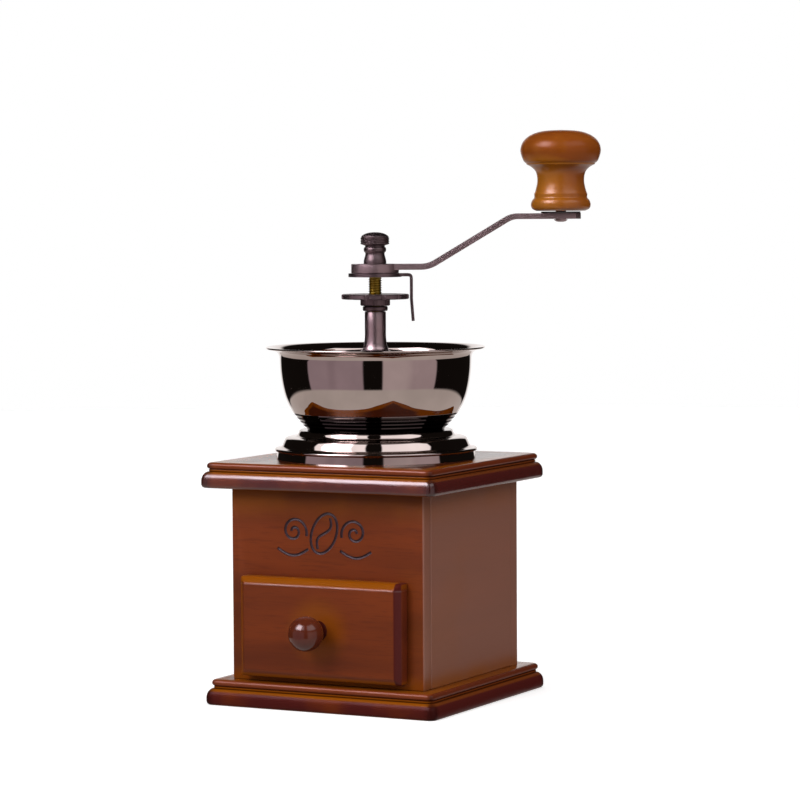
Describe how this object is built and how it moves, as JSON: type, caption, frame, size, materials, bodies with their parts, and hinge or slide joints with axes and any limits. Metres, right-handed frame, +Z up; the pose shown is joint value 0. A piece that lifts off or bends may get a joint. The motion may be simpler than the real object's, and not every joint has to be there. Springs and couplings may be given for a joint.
{
  "type": "burr coffee grinder",
  "caption": "Hand-cranked burr coffee grinder: wooden case with a pull-out drawer, open metal hopper, threaded shaft with adjusting wheel, cranked arm and turned knob.",
  "frame": {"origin": "centre of the base plate's underside, on the surface it stands on", "axes": "+Z up along the drive shaft; the drawer opens along -Y; +X to the right as seen from the drawer's side"},
  "size_m": [0.1423, 0.124, 0.2402],
  "materials": {
    "case_wood": "satin lacquer over reddish brown stain",
    "moulding_wood": "glossy lacquer over dark cherry stain",
    "knob_wood": "glossy lacquer, amber shading to brown",
    "drawer_knob_wood": "glossy dark cherry lacquer",
    "plain_wood": "bare planed wood",
    "dark_nickel": "mirror dark nickel plate",
    "pewter": "satin dark nickel plate",
    "brass_thread": "brass, fine thread",
    "cast_iron": "matt grey cast iron",
    "black_steel": "blackened steel",
    "zinc_steel": "bright zinc plate"
  },
  "bodies": {
    "case": {"base_plate": "moulding_wood", "top_plate": "moulding_wood", "front_panel": "case_wood", "back_panel": "case_wood", "left_panel": "case_wood", "right_panel": "case_wood", "drawer_guide_left": "plain_wood", "drawer_guide_right": "plain_wood", "base_screw_1": "zinc_steel", "base_screw_2": "zinc_steel", "base_screw_3": "zinc_steel", "base_screw_4": "zinc_steel", "hopper_bowl": "dark_nickel", "hopper_base": "dark_nickel", "burr_housing": "cast_iron", "outer_burr": "cast_iron", "bridge": "zinc_steel", "bearing_bush": "pewter", "lower_strip": "zinc_steel", "lower_strip_screw_1": "zinc_steel", "lower_strip_screw_2": "zinc_steel", "housing_screw_1": "zinc_steel", "housing_screw_2": "zinc_steel", "housing_screw_3": "zinc_steel", "housing_screw_4": "zinc_steel"},
    "drawer": {"drawer_front": "case_wood", "drawer_inner_front": "plain_wood", "drawer_side_left": "plain_wood", "drawer_side_right": "plain_wood", "drawer_back": "plain_wood", "drawer_bottom": "plain_wood", "drawer_knob": "drawer_knob_wood", "drawer_knob_screw": "zinc_steel"},
    "washer": {"thrust_washer": "pewter", "burr_spring": "zinc_steel"},
    "wheel": {"adjusting_wheel": "pewter"},
    "spindle": {"drive_shaft": "brass_thread", "inner_burr": "cast_iron", "burr_nut": "zinc_steel", "lock_plate": "pewter", "crank_arm": "pewter", "cap_nut": "pewter", "knob_pin": "pewter", "knob_washer": "black_steel"},
    "grip": {"crank_knob": "knob_wood"}
  },
  "joints": [
    {"name": "crank_turn", "type": "hinge", "parent": "case", "child": "washer", "pos_m": [0, 0, 0.165], "axis": [0, 0, 1], "continuous": true},
    {"name": "adjusting_wheel_turn", "type": "hinge", "parent": "washer", "child": "wheel", "pos_m": [0, 0, 0.17], "axis": [0, 0, 1], "range_deg": [-360, 0]},
    {"name": "burr_gap", "type": "slide", "parent": "washer", "child": "spindle", "axis": [0, 0, 1], "range_m": [0, 0.001], "deforming": ["burr_spring"]},
    {"name": "knob_spin", "type": "hinge", "parent": "spindle", "child": "grip", "pos_m": [0.07, 0.03597, 0.22], "axis": [0, 0, 1], "continuous": true},
    {"name": "drawer_slide", "type": "slide", "parent": "case", "child": "drawer", "axis": [0, -1, 0], "range_m": [0, 0.072]}
  ],
  "couplings": [
    {"joint": "adjusting_wheel_turn", "follows": "burr_gap", "rad_per_m": -6283.2}
  ]
}
